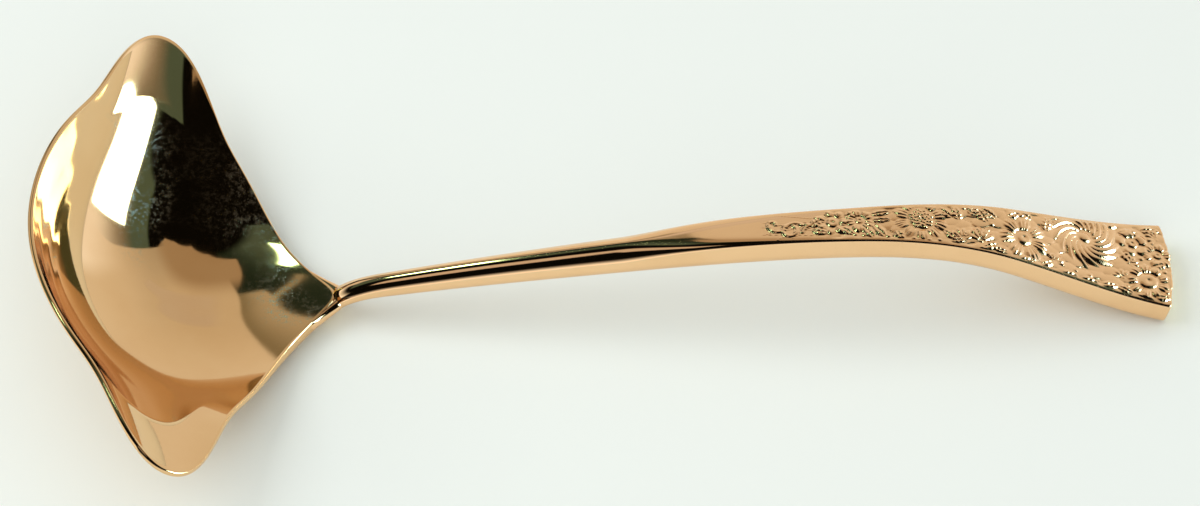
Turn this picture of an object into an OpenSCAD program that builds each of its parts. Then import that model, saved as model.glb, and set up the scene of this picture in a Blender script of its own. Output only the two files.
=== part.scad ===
// Gravy ladle with two pouring lips: a bowl drawn from sheet, a forged handle and the brazed seam between them.
// Millimetres, +Z up. It lies as on a table, on the tongue under the bowl and on the end of the handle, at z = 0.
// The handle runs along +X and the lips point along +Y and -Y.

/* [Bowl] */
// Half length of the basin at its rim, along the ladle
basin_half_l = 19.6; // [18.2:0.2:21]
// Half width of the basin at its rim, without the lips
basin_half_w = 28.6; // [26.6:0.2:30.6]
// Depth of the basin below the middle of the rim
basin_depth = 10.3; // [9.3:0.1:11.3]
// Thickness of the sheet
wall = 0.8; // [0.7:0.1:1.2]
// Thickness of the sheet at the neck, where it is left thicker
neck_wall = 1.8; // [1.4:0.1:2.2]
// Tilt of the rim, down towards the handle
bowl_tilt = 33.5; // [31:0.5:36]

/* [Lips] */
// Reach of each pouring lip beyond the basin
lip_reach = 11.2; // [8.8:0.2:13]
// Direction of each lip, measured from the handle
lip_angle = 89.5; // [85:0.5:95]
// Angle from the middle of a lip to its flank
lip_spread = 10.8; // [9:0.2:13]
// Rise of the rim at both sides above its mean, and fall at the front
rim_wave = 1.8; // [1.2:0.1:2.4]
// Further rise of the rim at the tip of each lip
lip_lift = 1.3; // [0.8:0.1:1.8]

/* [Neck] */
// Reach of the rim towards the handle, beyond the basin
neck_reach = 7.6; // [6.4:0.2:9]
// Rise of the rim towards the handle
neck_rise = 7.4; // [6.4:0.2:8.6]
// Angle over which the rim runs out into the neck
neck_spread = 21; // [19:1:24]

/* [Handle] */
// Length over the front of the bowl and the end of the handle
overall_l = 168; // [160:1:176]
// Slope of the handle where it leaves the rim, in degrees
root_slope = 38; // [33:1:42]
// Thickness of the handle where it leaves the rim
root_t = 2.5; // [2.2:0.1:2.9]
// Length of the upward sweep of the neck
neck_run = 8.5; // [7:0.5:10]
// Height of the slim shank just beyond the neck
shank_h = 8.1; // [7.6:0.1:8.7]
// Width of the slim shank
shank_w = 3.6; // [3.2:0.1:4.4]
// Thickness of the slim shank
shank_t = 3.5; // [3.1:0.1:4.1]
// Distance from the end of the handle to where the shank is thickest
swell_back = 74; // [70:1:80]
// Height of the handle there
swell_h = 15.2; // [14.2:0.1:16.2]
// Width of the handle there
swell_w = 5.5; // [4.8:0.1:6]
// Thickness of the handle there
swell_t = 5.3; // [4.7:0.1:5.7]
// Distance from the end of the handle to its crest
crest_back = 44.5; // [42:0.5:48]
// Height of the crest above the table
crest_h = 17; // [16.2:0.1:18]
// Width of the handle at its crest
crest_w = 6.6; // [6:0.1:7.6]
// Thickness of the handle at its crest
crest_t = 4.8; // [4.4:0.1:5.4]
// Distance from the end of the handle to where it is bent down
bend_back = 23; // [20:1:26]
// Height of the handle there
bend_h = 13.3; // [12.4:0.1:14.2]
// Slope of the handle there, in degrees
bend_slope = -22; // [-25:1:-19]
// Width of the handle there
bend_w = 9.8; // [8.8:0.2:11]
// Thickness of the handle there
bend_t = 4.3; // [4:0.1:4.9]
// Slope of the handle at its end, in degrees
end_slope = -12; // [-16:1:-8]
// Width of the handle at its end
end_w = 15.6; // [13:0.2:17]
// Thickness of the handle at its end
end_t = 4.6; // [4.2:0.1:5]
// Bulge of the rounded end of the handle
end_bulge = 0.9; // [0.5:0.1:1.5]

/* [Joint] */
// Half width of the tongue that laps the back of the bowl
tongue_half_w = 6.2; // [5.5:0.1:7]
// Length of the tongue under the bowl
tongue_l = 9; // [8:0.5:10]
// Thickness of the tongue at the neck
tongue_t = 1.6; // [1.3:0.1:2]
// Room for the brazing metal between the tongue and the bowl
braze_gap = 0.2; // [0.15:0.05:0.3]

/* [Hidden] */
gold = [0.86, 0.66, 0.42];
braze_colour = [0.80, 0.66, 0.48];

// Order of the basin's section, where 2 is a parabola and more is flatter in the middle
basin_order = 2.4;
// Order of the lips' flanks, where 2 is a bell and more is squarer
lip_order = 2.1;
// Orders at which the neck and the lips grow out of the basin towards the rim
flare_order = 3;
lip_flare_order = 5.5;
// Angle over which the sheet thins out beside the neck, and order at which it thickens towards the rim
wall_spread = 34;
wall_order = 3;
// Softening of the point of the rim at the neck, in degrees
neck_round = 3;
// Clearance between the rim's point and the step of the handle
rim_gap = 0.15;
// Height of the handle's top over the rim's point
root_step = 0.6;
// Slopes of the handle's top on the slim shank and where it is thickest, in degrees
shank_slope = 12;
swell_slope = 8;
// Orders of the rounded section: ridged top and round back of the shank, flat top and back of the end
ridge_order = 1.7;
back_order = 2.5;
flat_order = 6;
// Share of the thickness that lies above the widest line of the section
shank_belt = 0.5;
end_belt = 0.28;
// Length by which the top starts to flatten ahead of the thickest place
flat_lead = 6;
// Length over which the end takes on its bulge
bulge_run = 14;
// Distance from the neck to the widest place of the tongue
tongue_shoulder = 4.5;
// Thickness of the tongue's edge
tongue_edge = 0.3;
// Extra width of the tongue over the shank on each side of the neck
neck_flare = 0.4;
// Sag of the heel below a straight blend
heel_sag = 0.4;
// Distance of the brazing film from the edge of the tongue, and its clearance to both faces
film_margin = 0.8;
film_clear = 0.03;
film_steps = 10;
// Columns round half the bowl, rings from its middle to its rim
half_columns = 40;
rings = 18;
// Points round one section of the handle
section_points = 28;
handle_steps = 56;
tongue_steps = 16;
heel_steps = 6;
// Half of the extra closeness of the columns at the neck, the lips and the front
column_warp = 0.5;

// Smooth step from 0 to 1
function ease(t) = let (c = max(0, min(1, t))) c * c * (3 - 2 * c);
function mix(a, b, t) = a + (b - a) * t;

// Plan of the bowl: the basin is an ellipse, and the lips and the neck reach beyond it
function basin_r(a) = basin_half_l * basin_half_w
    / sqrt(pow(basin_half_w * cos(a), 2) + pow(basin_half_l * sin(a), 2));
function lip_share(a) = exp(-0.5 * pow(abs(abs(a) - lip_angle) / lip_spread, lip_order));
function neck_share(a) = exp(-(sqrt(a * a + neck_round * neck_round) - neck_round) / neck_spread);
function plan_r(u, a) = basin_r(a) * u
    + lip_reach * lip_share(a) * pow(u, lip_flare_order)
    + neck_reach * neck_share(a) * pow(u, flare_order);
function height(u, a) = basin_depth * (pow(u, basin_order) - 1)
    + lip_lift * lip_share(a) * pow(u, lip_flare_order)
    + (neck_rise * neck_share(a) - rim_wave * cos(2 * a)) * pow(u, flare_order);

// Inner face of the bowl in the frame of its rim: u runs from 0 in the middle to 1 at the rim
function inner(u, a) = [plan_r(u, a) * cos(a), plan_r(u, a) * sin(a), height(u, a)];
// Unit normal of that face, pointing into the bowl
function inner_normal(u, a) =
    let (
        along = inner(u + 0.005, a) - inner(u - 0.005, a),
        round = inner(u, a + 0.2) - inner(u, a - 0.2),
        n = cross(along, round)
    ) n / norm(n);
// A point at a depth under the inner face, and the thickness of the sheet there
function under(u, a, depth) = inner(u, a) - depth * inner_normal(u, a);
function wall_at(u, a) =
    wall + (neck_wall - wall) * exp(-pow(a / wall_spread, 2)) * pow(u, wall_order);
function outer(u, a) = under(u, a, wall_at(u, a));

// Angles of the columns, closer together at the neck, the lips and the front
columns = 2 * half_columns;
function column_angle(j) =
    let (s = 2 * j / columns - 1) 180 * (s - column_warp * sin(720 * s) / (4 * PI));
function ring_u(i) = pow(i / rings, 0.8);

// Signed power, for rounded sections
function spow(v, e) = sign(v) * pow(abs(v), e);
function section_angle(k) = 360 * k / section_points;

// Height over the plane of the rim of a face that lies at a distance under the bowl's back, at plan point x, y
function solve_u(r, a, u = 0.8, tries = 8) =
    tries == 0 ? u
    : let (
        miss = plan_r(u, a) - r,
        rate = (plan_r(u + 0.001, a) - plan_r(u, a)) / 0.001
    ) solve_u(r, a, u - miss / rate, tries - 1);
function below(x, y, gap) =
    let (
        a = atan2(y, x),
        u = solve_u(norm([x, y]), a),
        n = inner_normal(u, a)
    ) inner(u, a).z - (wall_at(u, a) + gap) / n.z;

// Plan of the tongue: it spreads from the neck along the rim and narrows to a round end under the bowl
neck_x = inner(1, 0).x;
widest_x = neck_x - tongue_shoulder;
tongue_x = neck_x - tongue_l;
function tongue_w(x) =
    x >= widest_x
    ? mix(tongue_half_w, shank_w / 2 + neck_flare, pow(sin(90 * (x - widest_x) / (neck_x - widest_x)), 0.9))
    : tongue_half_w * sqrt(max(0.002, 1 - pow((widest_x - x) / (widest_x - tongue_x), 2)));
function tongue_depth(x) = mix(tongue_edge, tongue_t, ease((x - tongue_x) / tongue_l));

// Section of the tongue at x in the frame of the rim: its top follows the bowl's back
function tongue_section(x) =
    let (w = tongue_w(x), d = tongue_depth(x))
    [for (k = [0 : section_points - 1])
        let (
            a = section_angle(k),
            y = w * cos(a),
            top = below(x, y, braze_gap)
        )
        [x, y, sin(a) >= 0 ? top : top - tongue_edge - d * sqrt(abs(sin(a)))]];
function tongue_stop(i) = mix(tongue_x, neck_x - rim_gap, i / tongue_steps);

// The frame of the rim, tilted and set down so that the lowest of the bowl's back and the tongue touches the table
function tilt(p) = [
    p.x * cos(bowl_tilt) + p.z * sin(bowl_tilt),
    p.y,
    p.z * cos(bowl_tilt) - p.x * sin(bowl_tilt)
];
outer_raw = [for (i = [1 : rings], j = [0 : columns - 1]) tilt(outer(ring_u(i), column_angle(j)))];
tongue_raw = [for (i = [0 : tongue_steps], p = tongue_section(tongue_stop(i))) tilt(p)];
bowl_shift = [
    -overall_l / 2 - min([for (p = outer_raw) p.x]),
    0,
    -min([for (p = concat(outer_raw, tongue_raw)) p.z])
];
function place(p) = tilt(p) + bowl_shift;
function tongue_ring(i) = [for (p = tongue_section(tongue_stop(i))) place(p)];

// Point of the rim at the neck, where the handle starts
rim_point = place(inner(1, 0));

// Stations along the handle: x, height of the top, slope in degrees, width and thickness
handle_end_x = overall_l / 2 - end_bulge;
end_h = end_t * cos(end_slope) - end_bulge * sin(end_slope);
stations = [
    [rim_point.x + rim_gap, rim_point.z + root_step, root_slope, shank_w, root_t],
    [rim_point.x + neck_run, shank_h, shank_slope, shank_w, shank_t],
    [handle_end_x - swell_back, swell_h, swell_slope, swell_w, swell_t],
    [handle_end_x - crest_back, crest_h, 0, crest_w, crest_t],
    [handle_end_x - bend_back, bend_h, bend_slope, bend_w, bend_t],
    [handle_end_x, end_h, end_slope, end_w, end_t]
];
last_station = len(stations) - 1;
// Index of the stretch between two stations that holds x
function stretch(x, k = 0) = k == last_station - 1 || x <= stations[k + 1].x ? k : stretch(x, k + 1);
// Cubic from height a to height b over a run, with the rise per unit length at both ends
function cubic(a, b, run, rise_a, rise_b, t) =
    (2 * pow(t, 3) - 3 * t * t + 1) * a + (pow(t, 3) - 2 * t * t + t) * run * rise_a
    + (3 * t * t - 2 * pow(t, 3)) * b + (pow(t, 3) - t * t) * run * rise_b;
function line_z(x) =
    let (k = stretch(x), a = stations[k], b = stations[k + 1], run = b.x - a.x)
    cubic(a.y, b.y, run, tan(a.z), tan(b.z), (x - a.x) / run);
function line_slope(x) = atan((line_z(x + 0.05) - line_z(x - 0.05)) / 0.1);
// Width (column 3) or thickness (column 4) at x
function size_rise(k, c) =
    let (a = stations[max(0, k - 1)], b = stations[min(last_station, k + 1)]) (b[c] - a[c]) / (b.x - a.x);
function size_at(x, c) =
    let (k = stretch(x), a = stations[k], b = stations[k + 1], run = b.x - a.x)
    cubic(a[c], b[c], run, size_rise(k, c), size_rise(k + 1, c), (x - a.x) / run);

// How far the section has changed from the ridged shank to the flat, square-edged end
function flatness(x) =
    ease((x - stations[2].x + flat_lead) / (stations[4].x - stations[2].x));

// Section of the handle at x: ridged on the shank, flat on top and squarer towards the end
function handle_ring(x) =
    let (
        f = flatness(x),
        w = size_at(x, 3) / 2,
        t = size_at(x, 4),
        belt = mix(shank_belt, end_belt, f) * t,
        s = line_slope(x),
        last = ease((x - handle_end_x + bulge_run) / bulge_run)
    )
    [for (k = [0 : section_points - 1])
        let (
            a = section_angle(k),
            top = sin(a) >= 0,
            e = 2 / (top ? mix(ridge_order, flat_order, f) : mix(back_order, flat_order, f)),
            y = w * spow(cos(a), e),
            n = (top ? belt : t - belt) * spow(sin(a), e) - belt,
            bulge = end_bulge * last * (1 - pow(y / w, 2))
        )
        [x - n * sin(s) + bulge * cos(s), y, line_z(x) + n * cos(s) + bulge * sin(s)]];

// Sections that turn from the last one of the tongue to the first one of the shank
function blend_ring(a, b, t) = [for (k = [0 : section_points - 1]) mix(a[k], b[k], t)];
function heel_ring(a, b, t) =
    let (low = blend_ring(a, b, t))
    [for (k = [0 : section_points - 1])
        let (sag = sin(section_angle(k)) < 0 ? heel_sag * sin(180 * t) * sin(section_angle(k)) : 0)
        low[k] + [0, 0, sag]];

handle_rings = let (
        start = handle_ring(stations[0].x),
        last = tongue_ring(tongue_steps)
    )
    concat(
        [for (i = [0 : tongue_steps]) tongue_ring(i)],
        [for (i = [1 : heel_steps - 1]) heel_ring(last, start, i / heel_steps)],
        [for (i = [0 : handle_steps]) handle_ring(mix(stations[0].x, handle_end_x, i / handle_steps))]
    );

// Solid through a row of closed sections, with a cap on both ends
function ring_centre(r) = [for (c = [0 : 2]) (max([for (p = r) p[c]]) + min([for (p = r) p[c]])) / 2];
module loft(rows) {
    n = len(rows[0]);
    last = len(rows) - 1;
    first_cap = n * len(rows);
    points = concat([for (r = rows, p = r) p], [ring_centre(rows[0]), ring_centre(rows[last])]);
    sides = [for (i = [0 : last - 1], k = [0 : n - 1])
        let (a = i * n + k, b = i * n + (k + 1) % n) each [[a, b + n, b], [a, a + n, b + n]]];
    caps = [for (k = [0 : n - 1])
        each [[first_cap, k, (k + 1) % n], [first_cap + 1, last * n + (k + 1) % n, last * n + k]]];
    polyhedron(points, concat(sides, caps));
}

// The bowl: inner and outer faces joined along the rim
module bowl() {
    count = rings * columns;
    inside = [for (i = [1 : rings], j = [0 : columns - 1]) place(inner(ring_u(i), column_angle(j)))];
    outside = [for (p = outer_raw) p + bowl_shift];
    points = concat(inside, outside, [place(inner(0, 0)), place([0, 0, -basin_depth - wall])]);
    walls = [for (i = [0 : rings - 2], j = [0 : columns - 1])
        let (a = i * columns + j, b = i * columns + (j + 1) % columns, c = b + columns, d = a + columns)
        each [[a, b, c], [a, c, d], [a + count, c + count, b + count], [a + count, d + count, c + count]]];
    rim = [for (j = [0 : columns - 1])
        let (a = count - columns + j, b = count - columns + (j + 1) % columns)
        each [[a, b, b + count], [a, b + count, a + count]]];
    middle = [for (j = [0 : columns - 1])
        let (b = (j + 1) % columns)
        each [[2 * count, b, j], [2 * count + 1, j + count, b + count]]];
    color(gold) polyhedron(points, concat(walls, rim, middle));
}

// The handle: tongue, heel, shank and flat end in one forging
module handle() {
    color(gold) loft(handle_rings);
}

// The film of brazing metal between the bowl's back and the tongue
module brazed_seam() {
    film_row = function (x)
        let (w = tongue_w(x) - film_margin)
        [for (k = [0 : section_points - 1])
            let (a = section_angle(k), y = w * cos(a))
            place([x, y, below(x, y, sin(a) >= 0 ? film_clear : braze_gap - film_clear)])];
    color(braze_colour)
        loft([for (i = [0 : film_steps])
            film_row(mix(tongue_x + film_margin, neck_x - film_margin, i / film_steps))]);
}

bowl();
handle();
brazed_seam();
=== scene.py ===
"""Gravy ladle of gilt metal, with a tilted bowl, two pouring lips and a flowered handle."""

import math
from types import SimpleNamespace

import bpy
import numpy as np
from mathutils import Matrix, Vector


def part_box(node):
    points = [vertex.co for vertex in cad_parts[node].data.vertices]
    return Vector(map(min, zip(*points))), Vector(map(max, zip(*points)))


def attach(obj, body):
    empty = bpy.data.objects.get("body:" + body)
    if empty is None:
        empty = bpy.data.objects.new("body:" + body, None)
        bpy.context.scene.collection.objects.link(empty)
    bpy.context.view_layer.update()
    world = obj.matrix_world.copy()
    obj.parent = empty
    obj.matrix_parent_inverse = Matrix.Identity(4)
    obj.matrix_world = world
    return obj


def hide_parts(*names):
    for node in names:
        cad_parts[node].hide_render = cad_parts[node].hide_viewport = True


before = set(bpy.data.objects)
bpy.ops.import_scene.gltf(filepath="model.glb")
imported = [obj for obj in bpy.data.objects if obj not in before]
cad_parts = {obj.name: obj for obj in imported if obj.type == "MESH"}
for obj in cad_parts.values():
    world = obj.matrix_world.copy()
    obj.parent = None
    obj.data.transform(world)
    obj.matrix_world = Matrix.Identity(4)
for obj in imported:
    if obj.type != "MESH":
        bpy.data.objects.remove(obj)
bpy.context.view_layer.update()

bl_info = {
    "name": "Gravy Ladle",
    "version": (1, 0, 0),
    "blender": (4, 5, 0),
    "location": "View3D > Sidebar > Ladle",
    "description": "Builds a gilt gravy ladle with two pouring lips and a flowered handle",
    "category": "Add Mesh",
}


# Properties

def length(name, millimetres, text):
    """A length that the user may change, kept in metres."""
    return bpy.props.FloatProperty(
        name=name, description=text, default=millimetres / 1000, precision=5, unit="LENGTH"
    )


def angle(name, degrees, text):
    """An angle that the user may change, kept in radians."""
    return bpy.props.FloatProperty(
        name=name, description=text, default=math.radians(degrees), subtype="ANGLE"
    )


def number(name, value, text):
    """A plain number that the user may change."""
    return bpy.props.FloatProperty(name=name, description=text, default=value, precision=4)


def tint(name, value, text):
    """A linear colour that the user may change."""
    return bpy.props.FloatVectorProperty(
        name=name, description=text, default=value, size=3, min=0.0, max=1.0, subtype="COLOR"
    )


class LadleBowlSizes(bpy.types.PropertyGroup):
    """Sizes of the bowl"""

    half_l: length("Half length", 19.6, "Half of the basin along the handle")
    half_w: length("Half width", 28.6, "Half of the basin between the lips")
    depth: length("Depth", 10.3, "Depth of the basin below the middle of the rim")
    basin_order: number("Basin order", 2.4, "Order of the basin's section, flatter below when higher")
    wall: length("Sheet", 0.8, "Thickness of the sheet")
    neck_wall: length("Neck sheet", 1.8, "Thickness of the sheet at the neck")
    wall_spread: angle("Neck sheet spread", 34, "Angle over which the sheet thins out beside the neck")
    wall_order: number("Neck sheet order", 3.0, "Order at which the sheet thickens towards the rim")
    tilt: angle("Tilt", 33.5, "Tilt of the rim towards the neck")
    lip_reach: length("Lip reach", 11.2, "Reach of the pouring lips beyond the basin")
    lip_angle: angle("Lip angle", 89.5, "Angle of the lips from the handle")
    lip_spread: angle("Lip spread", 10.8, "Spread of the lips round the rim")
    lip_order: number("Lip order", 2.1, "Order of the lips' flanks")
    lip_lift: length("Lip lift", 1.3, "Rise of the lips over the rim")
    lip_flare_order: number("Lip flare order", 5.5, "Order at which the lips grow towards the rim")
    rim_wave: length("Rim wave", 1.8, "Dip of the rim at the front and the neck")
    neck_reach: length("Neck reach", 7.6, "Reach of the rim's point at the neck")
    neck_rise: length("Neck rise", 7.4, "Rise of the rim's point at the neck")
    neck_spread: angle("Neck spread", 21, "Spread of the point round the rim")
    neck_round: angle("Neck round", 3, "Softening of the rim's point")
    neck_soft: angle("Neck softening", 25, "Extra softening of the point towards the bowl's middle")
    flare_order: number("Neck flare order", 3.0, "Order at which the neck grows towards the rim")
    crease_at: number("Lip crease", 0.86, "Share of the way out where the lips bend outwards")
    crease_rise: length("Crease rise", 1.1, "Rise of the lips at their crease")
    crease_fall: length("Crease fall", 1.7, "Fall of the lips from their crease to the rim")
    ripple: length("Ripple", 0.014, "Height of the drawn ripples near the rim")
    ripple_step: number("Ripple step", 0.14, "Share of the way out from one ripple to the next")
    rim_round: length("Rim rounding", 0.22, "Height of the rounded edge of the rim")


class LadleHandleSizes(bpy.types.PropertyGroup):
    """Sizes of the handle"""

    root_gap: length("Root gap", 0.15, "Clearance between the rim's point and the handle")
    root_step: length("Root step", 0.6, "Height of the handle's top over the rim's point")
    root_slope: angle("Root slope", 38, "Slope of the handle where it leaves the bowl")
    root_t: length("Root thickness", 2.5, "Thickness of the handle where it leaves the bowl")
    neck_run: length("Neck run", 8.5, "Length from the rim's point to the slim shank")
    shank_h: length("Shank height", 8.1, "Height of the top of the slim shank")
    shank_slope: angle("Shank slope", 12, "Slope of the top of the slim shank")
    shank_w: length("Shank width", 3.6, "Width of the slim shank")
    shank_t: length("Shank thickness", 3.5, "Thickness of the slim shank")
    swell_back: length("Swell place", 74, "Distance of the thickest place from the end")
    swell_h: length("Swell height", 15.2, "Height of the top there")
    swell_slope: angle("Swell slope", 8, "Slope of the top there")
    swell_w: length("Swell width", 5.5, "Width there")
    swell_t: length("Swell thickness", 5.3, "Thickness there")
    crest_back: length("Crest place", 44.5, "Distance of the crest from the end")
    crest_h: length("Crest height", 17, "Height of the crest")
    crest_w: length("Crest width", 6.6, "Width at the crest")
    crest_t: length("Crest thickness", 4.8, "Thickness at the crest")
    bend_back: length("Bend place", 23, "Distance of the steepest place from the end")
    bend_h: length("Bend height", 13.3, "Height of the top there")
    bend_slope: angle("Bend slope", -22, "Slope of the top there")
    bend_w: length("Bend width", 9.8, "Width there")
    bend_t: length("Bend thickness", 4.3, "Thickness there")
    end_slope: angle("End slope", -12, "Slope of the top at the end")
    end_w: length("End width", 15.6, "Width of the end")
    end_t: length("End thickness", 4.6, "Thickness of the end")
    end_bulge: length("End bulge", 0.9, "Bulge of the rounded end")
    bulge_run: length("Bulge run", 14, "Length over which the end takes on its bulge")
    end_round: length("End rounding", 0.35, "Rounding of the edge of the end")
    plane_order: number("Plane order", 11.0, "Order of the flat top with its crisp edges")
    plane_lead: length("Plane lead", 8, "How far before the swell the top begins to flatten")
    plane_run: length("Plane run", 40, "Length over which the top flattens")
    ridge_order: number("Ridge order", 1.7, "Order of the shank's ridged top")
    back_order: number("Back order", 2.5, "Order of the shank's round back")
    flat_order: number("Flat order", 6.0, "Order of the end's flat back")
    shank_belt: number("Shank belt", 0.5, "Share of the shank's thickness over its widest line")
    end_belt: number("End belt", 0.28, "Share of the end's thickness over its widest line")
    flat_lead: length("Flat lead", 6, "Length by which the back flattens ahead of the thickest place")
    tongue_half_w: length("Tongue half width", 6.2, "Half width of the tongue under the bowl")
    tongue_l: length("Tongue length", 9, "Length of the tongue under the bowl")
    tongue_t: length("Tongue thickness", 1.6, "Thickness of the tongue at the neck")
    tongue_edge: length("Tongue edge", 0.3, "Thickness of the tongue's edge")
    tongue_shoulder: length("Tongue shoulder", 4.5, "Distance from the neck to the tongue's widest place")
    collar_w: length("Collar width", 0.9, "Width of the collar that runs up the rim from the neck")
    collar_fillet: length("Collar fillet", 1.0, "Extra width of the collar at the neck")
    collar_reach: angle("Collar reach", 12, "Angle at the bowl's middle from the neck to the collar's end")
    neck_flare: length("Neck flare", 0.4, "Extra width of the tongue at the neck")
    heel_sag: length("Heel sag", 0.4, "Sag of the heel below a straight blend")
    braze_gap: length("Brazing gap", 0.2, "Room for the brazing metal under the bowl")


class LadleReliefSizes(bpy.types.PropertyGroup):
    """Sizes of the relief on the handle"""

    rise: length("Rise", 0.34, "Height of the highest flowers over the sunk ground")
    sink: length("Sunk ground", 0.12, "Depth of the ground between the flowers")
    border: length("Border", 0.45, "Width of the plain strip along both edges")
    start: length("Start", 63, "Distance from the end at which the relief starts")
    ground_start: length("Ground start", 56, "Distance from the end at which the ground is sunk")
    bead: length("Bead", 0.3, "Radius of the beads in a flower's centre")
    bead_reach: length("Bead reach", 1.7, "Radius of the beaded centre")
    fade: number("Fade", 0.25, "Share of its height that the relief loses towards the shank")
    fade_start: length("Fade start", 26, "Distance from the end at which the relief begins to grow lower")
    fade_run: length("Fade run", 22, "Length over which it grows lower")


class LadleFinish(bpy.types.PropertyGroup):
    """Colours and finish of the metal"""

    gilt: tint("Gilt", (0.80, 0.52, 0.262), "Colour of the gilt metal")
    gilt_deep: tint("Deep gilt", (0.77, 0.485, 0.235), "Colour of the gilt metal where it is thin")
    # Painted light: the handle's gilt is a paler copy of the bowl's gilt, brightened to stand in for light
    # that its top does not catch
    brightened_struck: tint("Brightened struck gilt", (0.94, 0.61, 0.335), "Colour of the gilt metal of the handle")
    brightened_struck_deep: tint("Deep brightened struck gilt", (0.905, 0.575, 0.305), "Colour of that gilt where it is thin")
    brazing: tint("Brazing metal", (0.72, 0.56, 0.36), "Colour of the brazing metal")
    paper: tint("Paper", (0.87, 0.915, 0.865), "Colour of the paper under the ladle")
    polish: number("Polish", 0.045, "Roughness of the polished metal")
    struck_polish: number("Struck polish", 0.048, "Roughness of the handle before the relief")
    brazing_polish: number("Brazing polish", 0.32, "Roughness of the brazing metal")


class LadleStageSizes(bpy.types.PropertyGroup):
    """Camera and studio"""

    camera_height: angle("Camera height", 52, "Angle of the view above the table")
    camera_turn: angle("Camera turn", -4.67, "Turn of the camera round the ladle")
    camera_roll: angle("Camera roll", 1.89, "Roll of the camera")
    camera_distance: length("Camera distance", 819.5, "Distance of the camera from its target")
    lens: bpy.props.FloatProperty(
        name="Lens", description="Focal length of the camera", default=165.0, unit="CAMERA"
    )
    target: bpy.props.FloatVectorProperty(
        name="Target", description="Point in the middle of the picture",
        default=(-0.00047, 0.00847, 0.00105), size=3, precision=5, unit="LENGTH", subtype="TRANSLATION"
    )


PROPERTY_GROUPS = {
    "ladle_bowl": LadleBowlSizes,
    "ladle_handle": LadleHandleSizes,
    "ladle_relief": LadleReliefSizes,
    "ladle_finish": LadleFinish,
    "ladle_stage": LadleStageSizes,
}


# Node trees

def sign(operation, swapped=False):
    """A method that joins a value and another number by a Math node."""
    def method(value, other):
        items = (other, value) if swapped else (value, other)
        return calc(value.tree, operation, *items)
    return method


class Value:
    """A number in a node tree that takes the usual signs."""

    __add__ = __radd__ = sign("ADD")
    __sub__ = sign("SUBTRACT")
    __rsub__ = sign("SUBTRACT", swapped=True)
    __mul__ = __rmul__ = sign("MULTIPLY")
    __truediv__ = sign("DIVIDE")
    __rtruediv__ = sign("DIVIDE", swapped=True)
    __pow__ = sign("POWER")

    def __init__(self, tree, socket):
        self.tree = tree
        self.socket = socket


def join(tree, item, socket):
    """Links a value to a socket, or sets the socket to a constant."""
    if isinstance(item, Value):
        tree.links.new(item.socket, socket)
    else:
        socket.default_value = item


def calc(tree, operation, *items):
    """A Math node on numbers or values."""
    node = tree.nodes.new("ShaderNodeMath")
    node.operation = operation
    for item, socket in zip(items, node.inputs):
        join(tree, item, socket)
    return Value(tree, node.outputs[0])


def vector_calc(tree, operation, *items):
    """A Vector Math node on vectors; a Scale takes its number last."""
    node = tree.nodes.new("ShaderNodeVectorMath")
    node.operation = operation
    sockets = list(node.inputs)
    if operation == "SCALE":
        sockets = [node.inputs[0], node.inputs["Scale"]]
    for item, socket in zip(items, sockets):
        join(tree, item, socket)
    return Value(tree, node.outputs[0])


def combine(tree, x, y, z):
    """A vector from three numbers."""
    node = tree.nodes.new("ShaderNodeCombineXYZ")
    for item, socket in zip((x, y, z), node.inputs):
        join(tree, item, socket)
    return Value(tree, node.outputs[0])


def separate(tree, vector):
    """The three numbers of a vector."""
    node = tree.nodes.new("ShaderNodeSeparateXYZ")
    join(tree, vector, node.inputs[0])
    return [Value(tree, socket) for socket in node.outputs]


def either(operation, array_function):
    """A function that works on node values, by a Math node, and on arrays."""
    def function(*items):
        trees = [item.tree for item in items if isinstance(item, Value)]
        return calc(trees[0], operation, *items) if trees else array_function(*items)
    return function


sin = either("SINE", np.sin)
cos = either("COSINE", np.cos)
exp = either("EXPONENT", np.exp)
root = either("SQRT", np.sqrt)
size = either("ABSOLUTE", np.abs)
least = either("MINIMUM", np.minimum)
most = either("MAXIMUM", np.maximum)


def limit(v):
    """The number kept between 0 and 1."""
    return least(most(v, 0.0), 1.0)


def ease(v):
    """A smooth step from 0 to 1."""
    c = limit(v)
    return c * c * (3.0 - 2.0 * c)


def ramp(v, start, run):
    """A smooth step that leaves 0 at a start and reaches 1 after a run."""
    return ease((v - start) / run)


def edge(v, place, soft):
    """A soft edge: 0 before a place and 1 beyond it."""
    return ease((v - place) / soft + 0.5)


def window(v, low, high, soft):
    """1 between two limits and 0 outside them, with soft edges."""
    return edge(v, low, soft) * edge(high, v, soft)


def add_node(tree, kind, **values):
    """A node with some of its inputs set, by name."""
    node = tree.nodes.new(kind)
    for name, item in values.items():
        join(tree, item, node.inputs[name.replace("_", " ")])
    return node


def out(tree, node, name=0):
    """An output of a node as a value."""
    return Value(tree, node.outputs[name])


def rgba(colour):
    """A colour for a socket: a value as it is, three numbers with an alpha of 1."""
    return colour if isinstance(colour, Value) else (*colour, 1.0)


def over(tree, base, colour, mask):
    """A colour laid over another one through a mask."""
    mix = tree.nodes.new("ShaderNodeMix")
    mix.data_type = "RGBA"
    for item, socket in ((mask, 0), (rgba(base), 6), (rgba(colour), 7)):
        join(tree, item, mix.inputs[socket])
    return Value(tree, mix.outputs[2])


def new_tree(name, kind, inputs, outputs):
    """A node group with named sockets, and its inputs as values."""
    tree = bpy.data.node_groups.new(name, kind)
    for label, socket_type, default in inputs:
        socket = tree.interface.new_socket(name=label, in_out="INPUT", socket_type=socket_type)
        if default is not None:
            socket.default_value = default
    for label, socket_type in outputs:
        tree.interface.new_socket(name=label, in_out="OUTPUT", socket_type=socket_type)
    start = tree.nodes.new("NodeGroupInput")
    end = tree.nodes.new("NodeGroupOutput")
    given = {socket.name: Value(tree, socket) for socket in start.outputs if socket.name}
    return tree, given, end


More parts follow.
